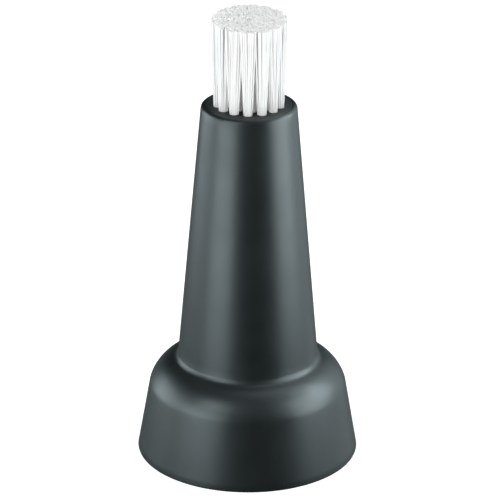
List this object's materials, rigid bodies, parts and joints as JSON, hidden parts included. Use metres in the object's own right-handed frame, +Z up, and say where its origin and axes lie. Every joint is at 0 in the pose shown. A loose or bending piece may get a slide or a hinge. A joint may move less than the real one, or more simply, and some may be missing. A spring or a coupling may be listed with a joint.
{
  "type": "powered cleaning brush head",
  "caption": "Conical brush head with a hollow flared base, a hexagonal drive socket inside and a narrow field of upright nylon tufts cut flat at the top.",
  "frame": {"origin": "centre of the skirt's open rim, on the surface that the head stands on", "axes": "+Z up along the cone from the rim to the bristle tips; -Y is the side seen in front"},
  "size_m": [0.0462, 0.0462, 0.095],
  "materials": {
    "shell_plastic": "moulded anthracite ABS, satin",
    "hub_plastic": "moulded glass-filled nylon",
    "bristle_nylon": "natural white nylon filament",
    "screw_steel": "zinc plated",
    "spring_steel": "drawn spring wire",
    "anchor_wire": "flattened brass wire"
  },
  "bodies": {
    "head": {"outer_shell": "shell_plastic", "tuft_block": "shell_plastic", "tuft_roots": "bristle_nylon", "tuft_anchors": "anchor_wire", "drive_hub": "hub_plastic", "hub_screws": "screw_steel", "retaining_clip": "spring_steel"},
    "tuft_outer_01": {"tuft_outer_01": "bristle_nylon"},
    "tuft_outer_02": {"tuft_outer_02": "bristle_nylon"},
    "tuft_outer_03": {"tuft_outer_03": "bristle_nylon"},
    "tuft_outer_04": {"tuft_outer_04": "bristle_nylon"},
    "tuft_outer_05": {"tuft_outer_05": "bristle_nylon"},
    "tuft_outer_06": {"tuft_outer_06": "bristle_nylon"},
    "tuft_outer_07": {"tuft_outer_07": "bristle_nylon"},
    "tuft_outer_08": {"tuft_outer_08": "bristle_nylon"},
    "tuft_outer_09": {"tuft_outer_09": "bristle_nylon"},
    "tuft_outer_10": {"tuft_outer_10": "bristle_nylon"},
    "tuft_outer_11": {"tuft_outer_11": "bristle_nylon"},
    "tuft_outer_12": {"tuft_outer_12": "bristle_nylon"},
    "tuft_outer_13": {"tuft_outer_13": "bristle_nylon"},
    "tuft_outer_14": {"tuft_outer_14": "bristle_nylon"},
    "tuft_middle_01": {"tuft_middle_01": "bristle_nylon"},
    "tuft_middle_02": {"tuft_middle_02": "bristle_nylon"},
    "tuft_middle_03": {"tuft_middle_03": "bristle_nylon"},
    "tuft_middle_04": {"tuft_middle_04": "bristle_nylon"},
    "tuft_middle_05": {"tuft_middle_05": "bristle_nylon"},
    "tuft_middle_06": {"tuft_middle_06": "bristle_nylon"},
    "tuft_middle_07": {"tuft_middle_07": "bristle_nylon"},
    "tuft_middle_08": {"tuft_middle_08": "bristle_nylon"},
    "tuft_middle_09": {"tuft_middle_09": "bristle_nylon"},
    "tuft_inner_01": {"tuft_inner_01": "bristle_nylon"},
    "tuft_inner_02": {"tuft_inner_02": "bristle_nylon"},
    "tuft_inner_03": {"tuft_inner_03": "bristle_nylon"},
    "tuft_inner_04": {"tuft_inner_04": "bristle_nylon"},
    "clip_leg_left": {"clip_leg_left": "spring_steel"},
    "clip_leg_right": {"clip_leg_right": "spring_steel"}
  },
  "joints": [
    {"name": "tuft_outer_01_bend", "type": "hinge", "parent": "head", "child": "tuft_outer_01", "pos_m": [-0.00022, -0.0064, 0.0765], "axis": [-0.0349, -0.9994, 0], "range_deg": [-12, 12], "stiffness_Nm_per_rad": 0.0034},
    {"name": "tuft_outer_02_bend", "type": "hinge", "parent": "head", "child": "tuft_outer_02", "pos_m": [0.00257, -0.00586, 0.0765], "axis": [0.4022, -0.9156, 0], "range_deg": [-12, 12], "stiffness_Nm_per_rad": 0.0034},
    {"name": "tuft_outer_03_bend", "type": "hinge", "parent": "head", "child": "tuft_outer_03", "pos_m": [0.00486, -0.00416, 0.0765], "axis": [0.7596, -0.6504, 0], "range_deg": [-12, 12], "stiffness_Nm_per_rad": 0.0034},
    {"name": "tuft_outer_04_bend", "type": "hinge", "parent": "head", "child": "tuft_outer_04", "pos_m": [0.00619, -0.00164, 0.0765], "axis": [0.9666, -0.2564, 0], "range_deg": [-12, 12], "stiffness_Nm_per_rad": 0.0034},
    {"name": "tuft_outer_05_bend", "type": "hinge", "parent": "head", "child": "tuft_outer_05", "pos_m": [0.00629, 0.00121, 0.0765], "axis": [0.9821, 0.1884, 0], "range_deg": [-12, 12], "stiffness_Nm_per_rad": 0.0034},
    {"name": "tuft_outer_06_bend", "type": "hinge", "parent": "head", "child": "tuft_outer_06", "pos_m": [0.00514, 0.00381, 0.0765], "axis": [0.8031, 0.5958, 0], "range_deg": [-12, 12], "stiffness_Nm_per_rad": 0.0034},
    {"name": "tuft_outer_07_bend", "type": "hinge", "parent": "head", "child": "tuft_outer_07", "pos_m": [0.00298, 0.00567, 0.0765], "axis": [0.4651, 0.8853, 0], "range_deg": [-12, 12], "stiffness_Nm_per_rad": 0.0034},
    {"name": "tuft_outer_08_bend", "type": "hinge", "parent": "head", "child": "tuft_outer_08", "pos_m": [0.00022, 0.0064, 0.0765], "axis": [0.0349, 0.9994, 0], "range_deg": [-12, 12], "stiffness_Nm_per_rad": 0.0034},
    {"name": "tuft_outer_09_bend", "type": "hinge", "parent": "head", "child": "tuft_outer_09", "pos_m": [-0.00257, 0.00586, 0.0765], "axis": [-0.4022, 0.9156, 0], "range_deg": [-12, 12], "stiffness_Nm_per_rad": 0.0034},
    {"name": "tuft_outer_10_bend", "type": "hinge", "parent": "head", "child": "tuft_outer_10", "pos_m": [-0.00486, 0.00416, 0.0765], "axis": [-0.7596, 0.6504, 0], "range_deg": [-12, 12], "stiffness_Nm_per_rad": 0.0034},
    {"name": "tuft_outer_11_bend", "type": "hinge", "parent": "head", "child": "tuft_outer_11", "pos_m": [-0.00619, 0.00164, 0.0765], "axis": [-0.9666, 0.2564, 0], "range_deg": [-12, 12], "stiffness_Nm_per_rad": 0.0034},
    {"name": "tuft_outer_12_bend", "type": "hinge", "parent": "head", "child": "tuft_outer_12", "pos_m": [-0.00629, -0.00121, 0.0765], "axis": [-0.9821, -0.1884, 0], "range_deg": [-12, 12], "stiffness_Nm_per_rad": 0.0034},
    {"name": "tuft_outer_13_bend", "type": "hinge", "parent": "head", "child": "tuft_outer_13", "pos_m": [-0.00514, -0.00381, 0.0765], "axis": [-0.8031, -0.5958, 0], "range_deg": [-12, 12], "stiffness_Nm_per_rad": 0.0034},
    {"name": "tuft_outer_14_bend", "type": "hinge", "parent": "head", "child": "tuft_outer_14", "pos_m": [-0.00298, -0.00567, 0.0765], "axis": [-0.4651, -0.8853, 0], "range_deg": [-12, 12], "stiffness_Nm_per_rad": 0.0034},
    {"name": "tuft_middle_01_bend", "type": "hinge", "parent": "head", "child": "tuft_middle_01", "pos_m": [0.00061, -0.00415, 0.0765], "axis": [0.1461, -0.9893, 0], "range_deg": [-8, 8], "stiffness_Nm_per_rad": 0.0034},
    {"name": "tuft_middle_02_bend", "type": "hinge", "parent": "head", "child": "tuft_middle_02", "pos_m": [0.00314, -0.00279, 0.0765], "axis": [0.7478, -0.6639, 0], "range_deg": [-8, 8], "stiffness_Nm_per_rad": 0.0034},
    {"name": "tuft_middle_03_bend", "type": "hinge", "parent": "head", "child": "tuft_middle_03", "pos_m": [0.0042, -0.00012, 0.0765], "axis": [0.9996, -0.0279, 0], "range_deg": [-8, 8], "stiffness_Nm_per_rad": 0.0034},
    {"name": "tuft_middle_04_bend", "type": "hinge", "parent": "head", "child": "tuft_middle_04", "pos_m": [0.00329, 0.00261, 0.0765], "axis": [0.7837, 0.6211, 0], "range_deg": [-8, 8], "stiffness_Nm_per_rad": 0.0034},
    {"name": "tuft_middle_05_bend", "type": "hinge", "parent": "head", "child": "tuft_middle_05", "pos_m": [0.00084, 0.00411, 0.0765], "axis": [0.2011, 0.9796, 0], "range_deg": [-8, 8], "stiffness_Nm_per_rad": 0.0034},
    {"name": "tuft_middle_06_bend", "type": "hinge", "parent": "head", "child": "tuft_middle_06", "pos_m": [-0.002, 0.00369, 0.0765], "axis": [-0.4756, 0.8796, 0], "range_deg": [-8, 8], "stiffness_Nm_per_rad": 0.0034},
    {"name": "tuft_middle_07_bend", "type": "hinge", "parent": "head", "child": "tuft_middle_07", "pos_m": [-0.00391, 0.00155, 0.0765], "axis": [-0.9298, 0.3681, 0], "range_deg": [-8, 8], "stiffness_Nm_per_rad": 0.0034},
    {"name": "tuft_middle_08_bend", "type": "hinge", "parent": "head", "child": "tuft_middle_08", "pos_m": [-0.00399, -0.00133, 0.0765], "axis": [-0.9489, -0.3156, 0], "range_deg": [-8, 8], "stiffness_Nm_per_rad": 0.0034},
    {"name": "tuft_middle_09_bend", "type": "hinge", "parent": "head", "child": "tuft_middle_09", "pos_m": [-0.0022, -0.00358, 0.0765], "axis": [-0.524, -0.8517, 0], "range_deg": [-8, 8], "stiffness_Nm_per_rad": 0.0034},
    {"name": "tuft_inner_01_bend", "type": "hinge", "parent": "head", "child": "tuft_inner_01", "pos_m": [0, -0.002, 0.0765], "axis": [0, -1, 0], "range_deg": [-4, 4], "stiffness_Nm_per_rad": 0.0034},
    {"name": "tuft_inner_02_bend", "type": "hinge", "parent": "head", "child": "tuft_inner_02", "pos_m": [0.002, 0, 0.0765], "axis": [1, 0, 0], "range_deg": [-4, 4], "stiffness_Nm_per_rad": 0.0034},
    {"name": "tuft_inner_03_bend", "type": "hinge", "parent": "head", "child": "tuft_inner_03", "pos_m": [0, 0.002, 0.0765], "axis": [0, 1, 0], "range_deg": [-4, 4], "stiffness_Nm_per_rad": 0.0034},
    {"name": "tuft_inner_04_bend", "type": "hinge", "parent": "head", "child": "tuft_inner_04", "pos_m": [-0.002, 0, 0.0765], "axis": [-1, 0, 0], "range_deg": [-4, 4], "stiffness_Nm_per_rad": 0.0034},
    {"name": "clip_leg_left_spread", "type": "hinge", "parent": "head", "child": "clip_leg_left", "pos_m": [-0.0041, 0.0072, 0.02], "axis": [0, 0, -1], "range_deg": [0, 3.5], "stiffness_Nm_per_rad": 1},
    {"name": "clip_leg_right_spread", "type": "hinge", "parent": "head", "child": "clip_leg_right", "pos_m": [0.0041, 0.0072, 0.02], "axis": [0, 0, 1], "range_deg": [0, 3.5], "stiffness_Nm_per_rad": 1}
  ],
  "couplings": [
    {"joint": "tuft_outer_02_bend", "follows": "tuft_outer_01_bend", "ratio": 1},
    {"joint": "tuft_outer_03_bend", "follows": "tuft_outer_01_bend", "ratio": 1},
    {"joint": "tuft_outer_04_bend", "follows": "tuft_outer_01_bend", "ratio": 1},
    {"joint": "tuft_outer_05_bend", "follows": "tuft_outer_01_bend", "ratio": 1},
    {"joint": "tuft_outer_06_bend", "follows": "tuft_outer_01_bend", "ratio": 1},
    {"joint": "tuft_outer_07_bend", "follows": "tuft_outer_01_bend", "ratio": 1},
    {"joint": "tuft_outer_08_bend", "follows": "tuft_outer_01_bend", "ratio": 1},
    {"joint": "tuft_outer_09_bend", "follows": "tuft_outer_01_bend", "ratio": 1},
    {"joint": "tuft_outer_10_bend", "follows": "tuft_outer_01_bend", "ratio": 1},
    {"joint": "tuft_outer_11_bend", "follows": "tuft_outer_01_bend", "ratio": 1},
    {"joint": "tuft_outer_12_bend", "follows": "tuft_outer_01_bend", "ratio": 1},
    {"joint": "tuft_outer_13_bend", "follows": "tuft_outer_01_bend", "ratio": 1},
    {"joint": "tuft_outer_14_bend", "follows": "tuft_outer_01_bend", "ratio": 1},
    {"joint": "tuft_middle_01_bend", "follows": "tuft_outer_01_bend", "ratio": 0.65625},
    {"joint": "tuft_middle_02_bend", "follows": "tuft_outer_01_bend", "ratio": 0.65625},
    {"joint": "tuft_middle_03_bend", "follows": "tuft_outer_01_bend", "ratio": 0.65625},
    {"joint": "tuft_middle_04_bend", "follows": "tuft_outer_01_bend", "ratio": 0.65625},
    {"joint": "tuft_middle_05_bend", "follows": "tuft_outer_01_bend", "ratio": 0.65625},
    {"joint": "tuft_middle_06_bend", "follows": "tuft_outer_01_bend", "ratio": 0.65625},
    {"joint": "tuft_middle_07_bend", "follows": "tuft_outer_01_bend", "ratio": 0.65625},
    {"joint": "tuft_middle_08_bend", "follows": "tuft_outer_01_bend", "ratio": 0.65625},
    {"joint": "tuft_middle_09_bend", "follows": "tuft_outer_01_bend", "ratio": 0.65625},
    {"joint": "tuft_inner_01_bend", "follows": "tuft_outer_01_bend", "ratio": 0.3125},
    {"joint": "tuft_inner_02_bend", "follows": "tuft_outer_01_bend", "ratio": 0.3125},
    {"joint": "tuft_inner_03_bend", "follows": "tuft_outer_01_bend", "ratio": 0.3125},
    {"joint": "tuft_inner_04_bend", "follows": "tuft_outer_01_bend", "ratio": 0.3125}
  ]
}
